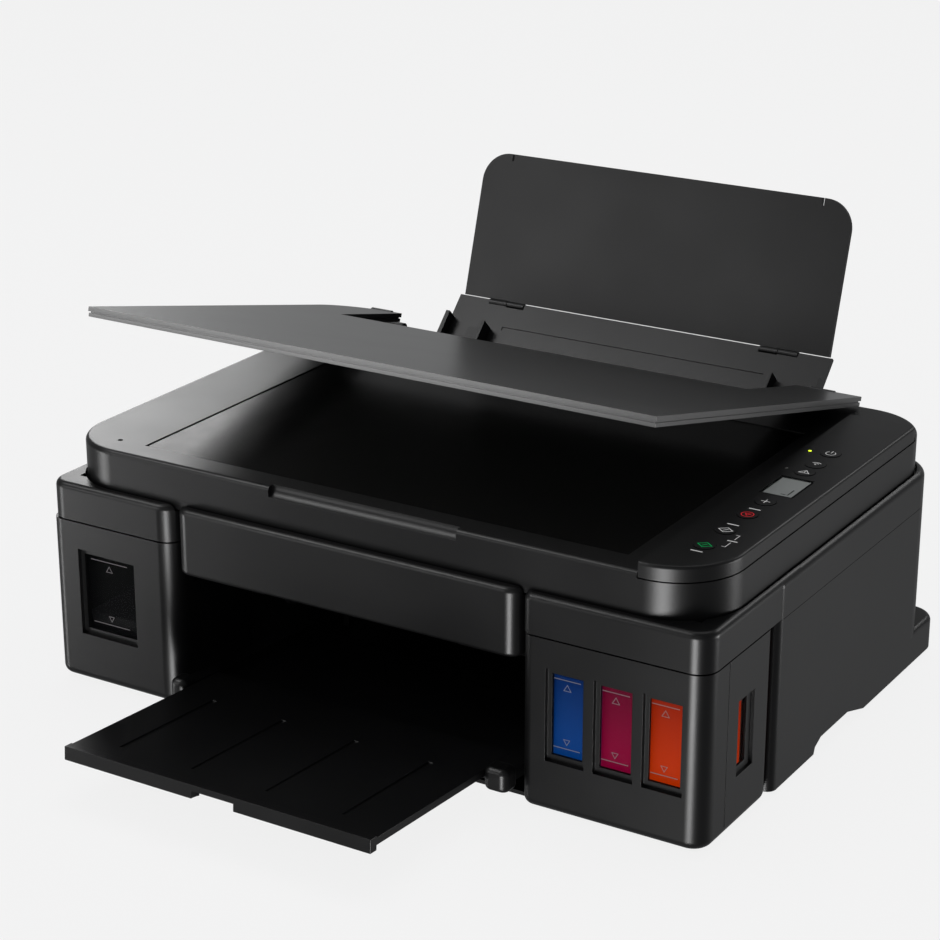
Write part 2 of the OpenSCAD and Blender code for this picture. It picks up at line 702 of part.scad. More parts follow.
module main_board() {
  z1 = board_z + board_t;
  color([0.05, 0.3, 0.15]) place() difference() {
    union() {
      box(-xs + 10, -xs + 60, rear_y - 99, rear_y - 21, board_z, z1);
      box(-xs + 26, -xs + 60, rear_y - 22, rear_y - 5, board_z, z1);
      // data socket, chips and capacitors
      box(-xs + 27.5, -xs + 39.5, rear_y - 17, rear_y + 0.5, z1 - 0.1, 43);
      box(-xs + 20, -xs + 36, rear_y - 79, rear_y - 63, z1 - 0.1, 32);
      box(-xs + 42, -xs + 52, rear_y - 89, rear_y - 65, z1 - 0.1, 38);
      for (i = [0:3]) rod_z(-xs + 18 + i * 9, rear_y - 45, z1 - 0.1, 40, 3.2);
    }
    box(-xs + 29.5, -xs + 37.5, rear_y - 9, rear_y + 2, 33, 41);
  }
}
module power_supply() {
  color([0.1, 0.1, 0.11]) place() difference() {
    box(xs - 82, xs - 20, rear_y - 105, rear_y - 5, floor_z + 0.2, 56);
    for (i = [0:8]) box(xs - 76 + i * 6, xs - 73 + i * 6, rear_y - 89, rear_y - 39, 54, 57);
  }
}
module power_inlet() {
  color([0.03, 0.03, 0.03]) place() difference() {
    union() {
      box(inlet_x0, inlet_x1, rear_y - 18, rear_y - 0.2, inlet_z0, inlet_z1);
      box(inlet_x0 - 2, inlet_x1 + 2, rear_y - 6, rear_y - wall - 0.3, inlet_z0 - 2, inlet_z1 + 2);
    }
    // two-pole socket
    for (x = [xs - 53, xs - 45]) rod_y(x, rear_y - 12, rear_y + 1, 71, 4.3);
    box(xs - 53, xs - 45, rear_y - 12, rear_y + 1, 68.5, 73.5);
  }
}

// ---------- scanner ----------
module scan_shell(i, z0, z1, rt) {
  pill(-scan_hw + i, scan_hw - i, scan_y0 + i, scan_y1 - i, z0, z1, scan_r - i, rt);
}
module scanner_housing() {
  color(BLACK) place() union() {
    scanner_shell();
    // hinge pins standing into the upper case's lugs
    for (x = [notch_x0 - 1, notch_x1 - 0.7 - lug_w + 0.4])
      rod_x(x, x + lug_w + 1.3, scan_hinge_y, scan_hinge_z, 1.2);
  }
}
module scanner_shell() {
  difference() {
    scan_shell(0, scan_z0, scan_z1, 3);
    difference() {
      scan_shell(3, scan_z0 + wall, scan_z1 - 5.2, 0);
      box(notch_x0 - 3, notch_x1 + 3, mouth_y, scan_y1 + 1, scan_z0 - 1, scan_z1 + 1);
    }
    // glass seat and aperture
    box(glass_x0, glass_x1, glass_y0, glass_y1, scan_z1 - glass_t - 0.6, scan_z1 + 1);
    box(glass_x0 + 6, glass_x1 - 6, glass_y0 + 5, glass_y1 - 5, scan_z1 - 8, scan_z1);
    // room for the control panel
    box(panel_x0 - 0.4, scan_hw + 5, scan_y0 - 5, panel_y1 + 0.4, panel_z0 - gap, scan_z1 + 5);
    // rear paper path
    box(notch_x0, notch_x1, mouth_y + 3, scan_y1 + 1, scan_z0 - 1, scan_z1 + 1);
    // finger dip at the middle of the front edge
    translate([0, scan_y0 - 3, scan_z1 + 1]) rotate([0, 90, 0]) cylinder(r = 8, h = 126, center = true);
    // small hole near the front left corner
    rod_z(-xs + 37.7, scan_y0 + 18, scan_z1 - 3, scan_z1 + 1, 1.6);
  }
}
module platen_glass() {
  color([0.04, 0.045, 0.05, 0.6]) place()
    box(glass_x0 + 0.3, glass_x1 - 0.3, glass_y0 + 0.3, glass_y1 - 0.3,
        scan_z1 - glass_t - 0.58, scan_z1 - 0.58);
}
module scan_bar() {
  color([0.1, 0.1, 0.1]) place() difference() {
    box(glass_x0 + 8, glass_x0 + 28, glass_y0 + 7, glass_y1 - 7, scan_z0 + wall + 3, scan_z1 - 9);
    box(glass_x0 + 13, glass_x0 + 23, glass_y0 + 9, glass_y1 - 9, scan_z1 - 12, scan_z1 - 8);
  }
}

module btn_hole(x, y) { rod_z(x, y, panel_z0 - 1, panel_z1 + 1, button_r + button_gap); }
module control_panel() {
  color(BLACK) place() difference() {
    intersection() {
      scan_shell(0.4, scan_z0 + 5, panel_z1, 2);
      box(panel_x0, scan_hw + 1, scan_y0 - 1, panel_y1, panel_z0, panel_z1 + 1);
    }
    intersection() {
      scan_shell(3, scan_z0, panel_z1 - 2.4, 0);
      box(panel_x0 + 2.5, scan_hw, scan_y0, panel_y1 - 3, panel_z0 - 1, panel_z1 - 2.4);
    }
    // display window
    box(button_x - 10.4, button_x + 10.4, display_y - 15.4, display_y + 15.4, panel_z1 - 4, panel_z1 + 1);
    for (y = [power_y, wireless_y, info_y]) btn_hole(button_x - 1, y);
    for (y = [plus_y, stop_y, start_black_y, start_color_y]) btn_hole(button_x, y);
  }
}
module display() {
  color([0.6, 0.62, 0.62]) place() union() {
    box(button_x - 10.1, button_x + 10.1, display_y - 15, display_y + 15, panel_z1 - 3.2, panel_z1 - 0.5);
    box(button_x - 14, button_x + 14, display_y - 18, display_y + 18, panel_z1 - 4.4, panel_z1 - 2.6);
  }
}
module button(x, y) {
  union() {
    rod_z(x, y, panel_z1 - 3.4, panel_z1 + 0.3, button_r);
    rod_z(x, y, panel_z1 - 4.4, panel_z1 - 3.3, button_r + 0.9);
  }
}
module button_power() { color(BLACK2) place() button(button_x - 1, power_y); }
module button_wireless() { color(BLACK2) place() button(button_x - 1, wireless_y); }
module button_info() { color(BLACK2) place() button(button_x - 1, info_y); }
module button_plus() { color(BLACK2) place() button(button_x, plus_y); }
module button_stop() { color([0.6, 0.05, 0.05]) place() button(button_x, stop_y); }
module button_start_black() { color([0.75, 0.75, 0.75]) place() button(button_x, start_black_y); }
module button_start_color() { color([0.05, 0.5, 0.2]) place() button(button_x, start_color_y); }

// ---------- document cover ----------
module lift() {
  translate([0, cover_y1, hinge_z]) rotate([-cover_open, 0, 0]) translate([0, -cover_y1, -hinge_z])
    children();
}
module cover_plan(i) {
  difference() {
    union() {
      translate([cover_x0 + i, cover_y0 + i]) square([cover_x1 - cover_x0 - 2 * i, 120]);
      translate([cover_x0 + i, cover_y0 + 60])
        square([cover_x1 - cover_x0 - 2 * i, cover_y1 - cover_y0 - 60 - 40]);
      translate([cover_x0 + 40, cover_y0 + 60])
        square([cover_x1 - cover_x0 - 40 - i, cover_y1 - cover_y0 - 60 - i]);
      translate([cover_x0 + 40, cover_y1 - 40]) circle(40 - i);
    }
    translate([notch_x0 - 2 - i, cover_cut - i]) square([notch_x1 - notch_x0 + 2 + 2 * i, 120]);
  }
}
module document_cover() {
  color(BLACK) place() lift() difference() {
    union() {
      translate([0, 0, cover_z0 + 3.2]) linear_extrude(cover_t - 3.2) cover_plan(0);
      translate([0, 0, cover_z0 + 2.2]) linear_extrude(1.2) cover_plan(1.2);
      translate([0, 0, cover_z0]) linear_extrude(2.3) cover_plan(0.4);
      for (x = [cover_x0 + 18, cover_x1 - 34]) rod_x(x, x + 16, cover_y1 - 0.4, hinge_z, 3.2);
    }
    // hollow underside behind the pad
    box(glass_x0 + 4, cover_x1 - 14, cover_y0 + 14, cover_cut - 10, cover_z0 - 1, cover_z0 + 1.4);
  }
}
module cover_pad() {
  color([0.92, 0.92, 0.9]) place() lift()
    box(glass_x0 + 5, cover_x1 - 15, cover_y0 + 15, cover_cut - 11, cover_z0 - 0.9, cover_z0 + 1.3);
}

// ---------- rear tray and paper support ----------
module ramp_frame() { translate([feed_x, bend_y, bend_z]) rotate([-45, 0, 0]) children(); }
module rear_tray() {
  color(BLACK) place() ramp_frame() difference() {
    union() {
      translate([-tray_hw, 0, -ramp_l]) cube([2 * tray_hw, 2.5, ramp_l - 1.5]);
      for (x = [-tray_hw, tray_hw - 3]) translate([x, -9, -ramp_l + 6]) cube([3, 10, ramp_l - 26]);
      // knuckles for the paper support
      for (x = [-hinge_x - knuckle_w, hinge_x]) ramp_hinge(x, knuckle_w, knuckle_r);
      // side rails that slide into the case
      for (x = [-tray_hw, tray_hw - 3]) translate([x, 0, -ramp_l])
        rotate([45, 0, 0]) translate([0, -rail_l, 0]) cube([3, rail_l + 2, 6]);
    }
    // guide slots
    for (z = [-48, -24]) translate([8 - guide_hw, -1, z]) cube([2 * (guide_hw - 8), 1.6, 3]);
    // bore for the hinge pins, and room for the support's own knuckles
    ramp_hinge(-hinge_x - knuckle_w - 1, 2 * (hinge_x + knuckle_w + 1), pin_r + 0.08);
    for (x = [-hinge_x, hinge_x - knuckle_w]) ramp_hinge(x, knuckle_w, knuckle_r + 0.5);
  }
}
// round stock along the hinge of the paper support
module ramp_hinge(x, w, r) { translate([x, 1.5, -3]) rotate([0, 90, 0]) cylinder(r = r, h = w); }
module support_frame() {
  translate([feed_x, bend_y, bend_z]) rotate([-support_tilt, 0, 0]) children();
}
module paper_support() {
  r = 20;
  z0 = -0.95;
  color(BLACK) place() {
    difference() {
      support_frame() union() {
        translate([0, support_t, 0]) rotate([90, 0, 0]) linear_extrude(support_t) union() {
          translate([-support_hw, z0]) square([2 * support_hw, support_h - r - z0]);
          translate([-support_hw + r, z0]) square([2 * support_hw - 2 * r, support_h - z0]);
          for (x = [-support_hw + r, support_hw - r]) translate([x, support_h - r]) circle(r);
        }
        // stiffening ribs on the back
        for (x = [-70, 0, 70]) translate([x - 1, support_t - 0.5, 8]) cube([2, 2.5, support_h - 24]);
      }
      // two small notches in the top edge
      support_frame() for (x = [22.1 - support_hw, support_hw - 22.1])
        translate([x - 0.7, -1, support_h - 5]) cube([1.4, support_t + 2, 12]);
      // relief round the tray's knuckles
      ramp_frame() for (x = [-hinge_x - knuckle_w - 0.5, hinge_x - 0.5])
        ramp_hinge(x, knuckle_w + 1, knuckle_r + 0.4);
    }
    // knuckles and pins of the support
    ramp_frame() {
      for (x = [-hinge_x + 0.4, hinge_x - knuckle_w + 0.4]) ramp_hinge(x, knuckle_w - 0.8, knuckle_r);
      for (x = [-hinge_x - knuckle_w + 1, hinge_x - knuckle_w + 0.4])
        ramp_hinge(x, 2 * knuckle_w - 1.4, pin_r);
    }
  }
}
module guide(s) {
  // s = -1 left, +1 right
  x = s > 0 ? guide_hw : -guide_hw - 3;
  translate([x, -11.5, -62]) cube([3, 11.1, 38]);
  translate([s > 0 ? guide_hw : -guide_hw - 16, -2.4, -58]) cube([16, 2, 32]);
}
module guide_left() { color(BLACK2) place() ramp_frame() guide(-1); }
module guide_right() { color(BLACK2) place() ramp_frame() guide(1); }

// ---------- output tray ----------
module tray_frame() { translate([0, lip_y + 1, tray_z]) rotate([-tray_slope, 0, 0]) children(); }
module output_tray() {
  color(BLACK) place() union() {
    tray_frame() {
      translate([xl + 4, 6, -6.6]) cube([xr - xl - 8, tray_back - 6, 1.6]);
      for (x = [xl + 4, ext_x1 + 0.8]) translate([x, 4, -6.6])
        cube([x < 0 ? ext_x0 - 0.8 - x : xr - 4 - x, tray_back - 4, 7.2]);
    }
    // rounded front lip at both ends
    pill(ext_x1 + 0.8, xr - 1.4, lip_y, lip_y + 14, 14, 28, 5, 4, 3);
    pill(xl + 1.4, ext_x0 - 0.8, lip_y, lip_y + 14, 14, 28, 5, 4, 3);
  }
}
module tray_extension() {
  l = ext_reach;
  color(BLACK) place() tray_frame() difference() {
    union() {
      translate([ext_x0, -l, -2.4]) cube([ext_x1 - ext_x0, l + 32, 2.4]);
      translate([ext_x0, -l - 5, -7.5]) cube([ext_x1 - ext_x0, 6, 8.3]);
      for (x = [ext_x0, ext_x1 - 2]) translate([x, -l, -4.6]) cube([2, l + 32, 4]);
    }
    // finger dip in the front edge
    translate([(ext_x0 + ext_x1) / 2, -l - 5, -9]) cylinder(r = 14, h = 6);
    for (i = [0:3]) translate([ext_x0 + 24 + i * 50, -l + 14, -1]) cube([3, l - 20, 2]);
  }
}

// ---------- selection ----------
base_case();
tank_housing_left();
tank_housing_right();
upper_case();
front_panel();
rubber_feet();
case_screws();
rear_access_cover();
tank_windows();
ink_tanks();
ink_cyan();
ink_magenta();
ink_yellow();
ink_black();
cap_cyan();
cap_magenta();
cap_yellow();
cap_black();
tank_cover_left();
tank_cover_right();
ink_tubes();
chassis();
carriage();
print_heads();
head_lock();
carriage_belt();
carriage_motor();
motor_pulley();
idler_pulley();
feed_roller();
eject_roller();
feed_motor();
feed_pulley();
drive_belts();
pickup_roller();
platen();
purge_unit();
main_board();
power_supply();
power_inlet();
scanner_housing();
platen_glass();
scan_bar();
control_panel();
display();
button_power();
button_wireless();
button_info();
button_plus();
button_stop();
button_start_black();
button_start_color();
document_cover();
cover_pad();
rear_tray();
paper_support();
guide_left();
guide_right();
output_tray();
tray_extension();
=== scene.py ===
import json
import math

import bmesh
import bpy
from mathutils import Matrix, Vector

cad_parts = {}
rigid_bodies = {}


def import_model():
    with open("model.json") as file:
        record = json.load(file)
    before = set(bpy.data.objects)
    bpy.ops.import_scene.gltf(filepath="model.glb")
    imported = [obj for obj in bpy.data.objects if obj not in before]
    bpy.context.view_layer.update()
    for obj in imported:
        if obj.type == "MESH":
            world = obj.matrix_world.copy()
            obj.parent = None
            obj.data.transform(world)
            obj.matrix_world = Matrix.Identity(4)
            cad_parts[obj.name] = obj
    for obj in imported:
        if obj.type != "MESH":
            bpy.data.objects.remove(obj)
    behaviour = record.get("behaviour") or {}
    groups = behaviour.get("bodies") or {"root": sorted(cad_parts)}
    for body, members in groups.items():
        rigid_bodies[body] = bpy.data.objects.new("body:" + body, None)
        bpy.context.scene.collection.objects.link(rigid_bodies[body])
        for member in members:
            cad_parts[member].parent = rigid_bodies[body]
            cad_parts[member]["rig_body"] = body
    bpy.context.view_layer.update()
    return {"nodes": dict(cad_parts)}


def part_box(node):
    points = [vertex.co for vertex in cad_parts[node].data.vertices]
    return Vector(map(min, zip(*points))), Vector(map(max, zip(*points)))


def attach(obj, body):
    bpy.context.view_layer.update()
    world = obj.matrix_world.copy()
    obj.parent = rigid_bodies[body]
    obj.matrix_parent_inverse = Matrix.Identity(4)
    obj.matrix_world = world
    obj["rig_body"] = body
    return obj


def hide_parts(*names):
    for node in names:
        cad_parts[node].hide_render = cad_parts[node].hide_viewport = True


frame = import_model()
nodes = frame["nodes"]
scene = bpy.context.scene

# ---------------------------------------------------------------------------
# Studio. A glowing floor, a wide softbox overhead and a low fill in front
# light the printer; the other lamps are cards that show only in its gloss.
# ---------------------------------------------------------------------------
LENS_MM = 96.13
SENSOR_MM = 36
CAMERA_AT = (0.7359, -1.2170, 0.6631)
LOOK_AT = (-0.0289, 0.0254, 0.1209)
LAMPS_LOOK_AT = (0, 0, 0.1)
FLOOR_SIZE = 16
FLOOR_AT = (0, 2, 0)


def linear(code):
    """The linear RGBA of an sRGB hex colour."""
    parts = [int(code[i:i + 2], 16) / 255 for i in (1, 3, 5)]
    return tuple(c / 12.92 if c <= 0.04045 else ((c + 0.055) / 1.055) ** 2.4
                 for c in parts) + (1.0,)


def shade(code, factor, lift=0.0):
    """A lighter or darker neighbour of an sRGB hex colour, as linear RGBA."""
    return tuple(min(1.0, c * factor + lift) for c in linear(code)[:3]) + (1.0,)


def face_to(at, target):
    """The rotation that turns a camera or a lamp at one point to look at another."""
    return (Vector(target) - Vector(at)).to_track_quat("-Z", "Y").to_euler()


def add(tree, kind, settings=None, links=None):
    """One shader node with its settings and the sockets that feed it."""
    made = tree.nodes.new("ShaderNode" + kind)
    for key, value in (settings or {}).items():
        if key in made.inputs.keys():
            made.inputs[key].default_value = value
        else:
            setattr(made, key, value)
    for key, source in (links or {}).items():
        tree.links.new(source, made.inputs[key])
    return made


def blank(name):
    """A new node material with only its output."""
    made = bpy.data.materials.new(name)
    made.use_nodes = True
    made.node_tree.nodes.clear()
    return made, made.node_tree, add(made.node_tree, "OutputMaterial")


camera = bpy.data.objects.new("camera", bpy.data.cameras.new("camera"))
scene.collection.objects.link(camera)
camera.data.lens = LENS_MM
camera.data.sensor_width = SENSOR_MM
camera.location = CAMERA_AT
camera.rotation_euler = face_to(CAMERA_AT, LOOK_AT)
scene.camera = camera
scene.view_settings.view_transform = "Standard"

# backlit acrylic: it glows evenly, so only a faint shadow falls on it
acrylic, tree, out = blank("backlit_acrylic")
shader = add(tree, "BsdfPrincipled", {"Base Color": linear("#4c4c4d"), "Roughness": 0.9,
                                      "Specular IOR Level": 0.0, "Emission Strength": 0.85,
                                      "Emission Color": linear("#ffffff")})
tree.links.new(shader.outputs[0], out.inputs[0])
bpy.ops.mesh.primitive_plane_add(size=FLOOR_SIZE, location=FLOOR_AT)
floor = bpy.context.object
floor.name = "floor"
floor.data.materials.append(acrylic)
floor.visible_glossy = False
floor.visible_shadow = False

world = bpy.data.worlds.new("studio")
scene.world = world
world.use_nodes = True
backdrop = world.node_tree.nodes["Background"]
backdrop.inputs["Color"].default_value = linear("#f4f5f6")
backdrop.inputs["Strength"].default_value = 0.4


def softbox(name, at, size, glow, card=True):
    """A rectangular lamp whose face has the brightness glow; a card shows only in gloss."""
    lamp = bpy.data.objects.new(name, bpy.data.lights.new(name, "AREA"))
    scene.collection.objects.link(lamp)
    lamp.data.shape = "RECTANGLE"
    lamp.data.size, lamp.data.size_y = size
    lamp.data.energy = glow * math.pi * size[0] * size[1]
    lamp.location = at
    lamp.rotation_euler = face_to(at, LAMPS_LOOK_AT)
    lamp.visible_camera = False
    lamp.visible_diffuse = not card


softbox("overhead", (-0.2, 0.5, 2.2), (1.8, 1.2), 2.0, card=False)
softbox("front_fill", (0.5, -1.6, 1.2), (0.9, 0.6), 1.6, card=False)
softbox("front_high", (-1.05, -0.75, 1.75), (0.9, 0.6), 18.0)
softbox("back_left", (-2.1, 1.9, 1.0), (0.8, 0.7), 9.0)
softbox("back_right", (0.8, 1.8, 1.2), (0.7, 0.4), 10.0)
softbox("support_card", (-1.05, -1.45, 0.62), (0.9, 0.5), 9.0)
# these stand below the table top, where upright faces seen from above mirror them
softbox("front_strip", (0.3, -1.2, -0.35), (0.4, 0.5), 58.0)
softbox("left_strip", (-1.3, -0.9, -0.3), (0.3, 0.5), 25.0)
softbox("right_strip", (1.4, 0.75, -0.1), (0.4, 0.5), 24.0)

# ---------------------------------------------------------------------------
# Case mouldings. Black ABS shells from steel moulds whose faces were spark
# eroded: a fine even grain, soft gloss, and edges broken by a small radius.
# ---------------------------------------------------------------------------
GRAIN_MM = 0.9  # the real grain is about 0.1 mm, too fine to show
WELD = 0.000002
FLAT_DEG = 0.8
EDGE_DEG = 32
SMOOTH_DEG = 28


def moulded_plastic(name, colour, roughness, depth=0.06, specular=0.42, uneven=0.03):
    """Moulded plastic: even pigment, a fine grain and slightly uneven gloss."""
    made, tree, out = blank(name)
    place = add(tree, "TexCoord").outputs["Object"]
    cloud = add(tree, "TexNoise", {"Scale": 14.0, "Detail": 3.0}, {"Vector": place})
    grain = add(tree, "TexNoise", {"Scale": 1000 / GRAIN_MM, "Detail": 2.0}, {"Vector": place})
    tone = add(tree, "MixRGB", {"Color1": linear(colour), "Color2": shade(colour, 1.22)},
               {"Fac": cloud.outputs["Fac"]})
    gloss = add(tree, "MapRange", {"From Min": 0.25, "From Max": 0.75,
                                   "To Min": roughness - uneven, "To Max": roughness + uneven},
                {"Value": cloud.outputs["Fac"]})
    bump = add(tree, "Bump", {"Strength": depth, "Distance": 0.0004},
               {"Height": grain.outputs["Fac"]})
    shader = add(tree, "BsdfPrincipled", {"IOR": 1.53, "Specular IOR Level": specular},
                 {"Base Color": tone.outputs["Color"], "Roughness": gloss.outputs["Result"],
                  "Normal": bump.outputs["Normal"]})
    tree.links.new(shader.outputs[0], out.inputs[0])
    return made


case_abs = moulded_plastic("moulded_abs_black", "#0a0a0b", 0.36, specular=0.12)
cover_abs = moulded_plastic("moulded_abs_cover", "#0e0e0f", 0.3, depth=0.02, specular=0.62,
                            uneven=0.01)
trim_abs = moulded_plastic("moulded_abs_trim", "#0b0b0c", 0.38, specular=0.12)
inner_abs = moulded_plastic("moulded_abs_inner", "#090909", 0.6, depth=0.04, specular=0.15)


def dress(name, finish):
    """Gives a CAD node its finish."""
    nodes[name].data.materials.clear()
    nodes[name].data.materials.append(finish)


def moulded(name, finish, edge=0.0005):
    """The piece as it leaves its mould: a merged copy of the CAD shell with rounded edges."""
    source = nodes[name]
    shell = source.copy()
    shell.data = source.data.copy()
    shell.name = name + "_moulding"
    scene.collection.objects.link(shell)
    for key in list(shell.keys()):
        del shell[key]
    shell.parent = None
    shell.data.materials.clear()
    shell.data.materials.append(finish)
    bpy.ops.object.select_all(action="DESELECT")
    bpy.context.view_layer.objects.active = shell
    shell.select_set(True)
    if shell.data.has_custom_normals:
        bpy.ops.mesh.customdata_custom_splitnormals_clear()
    bpy.ops.object.mode_set(mode="EDIT")
    bpy.ops.mesh.select_all(action="SELECT")
    bpy.ops.mesh.remove_doubles(threshold=WELD)
    bpy.ops.mesh.dissolve_limited(angle_limit=math.radians(FLAT_DEG))
    bpy.ops.object.mode_set(mode="OBJECT")
    broken = shell.modifiers.new("edge", "BEVEL")
    broken.width = edge
    broken.segments = 2
    broken.limit_method = "ANGLE"
    broken.angle_limit = math.radians(EDGE_DEG)
    broken.use_clamp_overlap = True
    bpy.ops.object.modifier_apply(modifier="edge")
    bpy.ops.object.shade_smooth_by_angle(angle=math.radians(SMOOTH_DEG))
    level = shell.modifiers.new("flats", "WEIGHTED_NORMAL")
    level.keep_sharp = True
    level.weight = 80
    bpy.ops.object.modifier_apply(modifier="flats")
    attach(shell, source["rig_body"])
    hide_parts(name)


for name in ("base_case", "upper_case", "tank_housing_left", "tank_housing_right",
             "front_panel", "rear_access_cover"):
    moulded(name, case_abs)

for name in ("tank_cover_left", "tank_cover_right"):
    dress(name, trim_abs)

# ---------------------------------------------------------------------------
# Feet and screws. Six pressed-in rubber feet, and zinc-plated screws up
# through the floor of the case.
# ---------------------------------------------------------------------------


def moulded_rubber(name, colour, roughness=0.75):
    """Rubber from a mould: matt, with a slight bloom."""
    made, tree, out = blank(name)
    place = add(tree, "TexCoord").outputs["Object"]
    bloom = add(tree, "TexNoise", {"Scale": 220.0, "Detail": 4.0}, {"Vector": place})
    tone = add(tree, "MixRGB", {"Color1": linear(colour), "Color2": shade(colour, 1.35, 0.002)},
               {"Fac": bloom.outputs["Fac"]})
    bump = add(tree, "Bump", {"Strength": 0.12, "Distance": 0.0003},
               {"Height": bloom.outputs["Fac"]})
    shader = add(tree, "BsdfPrincipled", {"Roughness": roughness, "IOR": 1.5,
                                          "Specular IOR Level": 0.3},
                 {"Base Color": tone.outputs["Color"], "Normal": bump.outputs["Normal"]})
    tree.links.new(shader.outputs[0], out.inputs[0])
    return made


def plated_steel(name, colour, roughness, stretch):
    """Zinc-plated sheet or turned steel: fine lines drawn out along one axis, also in the gloss."""
    made, tree, out = blank(name)
    place = add(tree, "TexCoord").outputs["Object"]
    mapped = add(tree, "Mapping", {"Scale": stretch}, {"Vector": place})
    lines = add(tree, "TexNoise", {"Scale": 420.0, "Detail": 3.0},
                {"Vector": mapped.outputs["Vector"]})
    gloss = add(tree, "MapRange", {"To Min": roughness - 0.08, "To Max": roughness + 0.12},
                {"Value": lines.outputs["Fac"]})
    bump = add(tree, "Bump", {"Strength": 0.05, "Distance": 0.0002},
               {"Height": lines.outputs["Fac"]})
    shader = add(tree, "BsdfPrincipled", {"Base Color": linear(colour), "Metallic": 1.0},
                 {"Roughness": gloss.outputs["Result"], "Normal": bump.outputs["Normal"]})
    tree.links.new(shader.outputs[0], out.inputs[0])
    return made


foot_rubber = moulded_rubber("foot_rubber", "#161616")
zinc_steel = plated_steel("zinc_plated_steel", "#b9bcc0", 0.34, (0.05, 1, 1))
dress("rubber_feet", foot_rubber)
dress("case_screws", zinc_steel)

# ---------------------------------------------------------------------------
# Ink tanks. Half-clear polypropylene tanks stand in the two front blocks, and
# their ink shows through clear polycarbonate windows with printed levels.
# The ink and the level marks glow with painted light.
# ---------------------------------------------------------------------------
LINE_MM = 0.52
FILM = 0.00004
ARC_STEPS = 32
INK_LOW, INK_HIGH = 0.03, 0.095  # the heights the ink's colour runs between


def clear_plastic(name, colour, alpha, roughness, specular=0.5):
    """Thin clear plastic, seen mostly by its gloss."""
    made, tree, out = blank(name)
    place = add(tree, "TexCoord").outputs["Object"]
    haze = add(tree, "TexNoise", {"Scale": 60.0, "Detail": 2.0}, {"Vector": place})
    gloss = add(tree, "MapRange", {"To Min": roughness * 0.8, "To Max": roughness * 1.3},
                {"Value": haze.outputs["Fac"]})
    shader = add(tree, "BsdfPrincipled", {"Base Color": linear(colour), "Alpha": alpha, "IOR": 1.58,
                                          "Specular IOR Level": specular},
                 {"Roughness": gloss.outputs["Result"]})
    tree.links.new(shader.outputs[0], out.inputs[0])
    made.surface_render_method = "BLENDED"
    return made


def ink_with_painted_glow(name, bottom, top):
    """Ink behind a wall: strongly coloured, from one colour at the bottom to one at the top, and
    given a painted glow in the same colours.
    """
    made, tree, out = blank(name)
    place = add(tree, "TexCoord").outputs["Object"]
    height = add(tree, "SeparateXYZ", {}, {"Vector": place})
    rise = add(tree, "MapRange", {"From Min": INK_LOW, "From Max": INK_HIGH},
               {"Value": height.outputs["Z"]})
    tone = add(tree, "MixRGB", {"Color1": linear(bottom), "Color2": linear(top)},
               {"Fac": rise.outputs["Result"]})
    # painted glow: the emission makes the ink glow in its own colour, though it is no lamp
    shader = add(tree, "BsdfPrincipled", {"Roughness": 0.22, "IOR": 1.36, "Specular IOR Level": 0.1,
                                          "Emission Strength": 0.5},
                 {"Base Color": tone.outputs["Color"], "Emission Color": tone.outputs["Color"]})
    tree.links.new(shader.outputs[0], out.inputs[0])
    return made


def printed_ink(name, colour, glow=0.0):
    """Pad-printed ink: a thin opaque film, a little uneven at its edges. A glow above nought is
    painted light on printed marks, and the lamp's own light on an indicator lens.
    """
    made, tree, out = blank(name)
    place = add(tree, "TexCoord").outputs["Object"]
    speck = add(tree, "TexNoise", {"Scale": 2500.0}, {"Vector": place})
    tone = add(tree, "MixRGB", {"Color1": linear(colour), "Color2": shade(colour, 0.85)},
               {"Fac": speck.outputs["Fac"]})
    shader = add(tree, "BsdfPrincipled", {"Roughness": 0.5, "Emission Color": linear(colour),
                                          "Emission Strength": glow},
                 {"Base Color": tone.outputs["Color"]})
    tree.links.new(shader.outputs[0], out.inputs[0])
    return made


def flat_mesh(name, outlines, at, ink, body, upright=False):
    """Printed marks: flat outlines in millimetres about a point, as one thin film.

    They lie flat and face up, or stand upright and face the front."""
    made = bpy.data.meshes.new(name)
    sheet = bmesh.new()
    for outline in outlines:
        if upright:
            spots = [(at.x + x / 1000, at.y - FILM, at.z + y / 1000) for x, y in outline]
        else:
            spots = [(at.x + x / 1000, at.y + y / 1000, at.z + FILM) for x, y in outline]
        sheet.faces.new([sheet.verts.new(spot) for spot in spots])
    bmesh.ops.solidify(sheet, geom=sheet.faces[:], thickness=FILM * 0.6)
    bmesh.ops.recalc_face_normals(sheet, faces=sheet.faces[:])
    sheet.to_mesh(made)
    sheet.free()
    made.materials.append(ink)
    mark = bpy.data.objects.new(name, made)
    scene.collection.objects.link(mark)
    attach(mark, body)


def stroke(points, width, closed=False):
    """The outlines of a line of that width through the points, in millimetres."""
    parts = []
    ends = points[1:] + points[:1] if closed else points[1:]
    for (ax, ay), (bx, by) in zip(points, ends):
        run = math.hypot(bx - ax, by - ay)
        ux, uy = (bx - ax) / run * width / 2, (by - ay) / run * width / 2
        parts.append([(ax - ux - uy, ay - uy + ux), (ax - ux + uy, ay - uy - ux),
                      (bx + ux + uy, by + uy - ux), (bx + ux - uy, by + uy + ux)])
    return parts


def ring(radius, width, start=0, end=360):
    """The outlines of an arc, in millimetres and degrees."""
    parts = []
    for i in range(ARC_STEPS):
        a, b = (math.radians(start + (end - start) * k / ARC_STEPS) for k in (i, i + 1))
        parts.append([(r * math.cos(t), r * math.sin(t)) for r, t in
                      ((radius - width / 2, a), (radius + width / 2, a),
                       (radius + width / 2, b), (radius - width / 2, b))])
    return parts


def top_of(name):
    """The middle of the top of a CAD node's box."""
    box_low, box_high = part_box(name)
    return Vector(((box_low.x + box_high.x) / 2, (box_low.y + box_high.y) / 2, box_high.z))
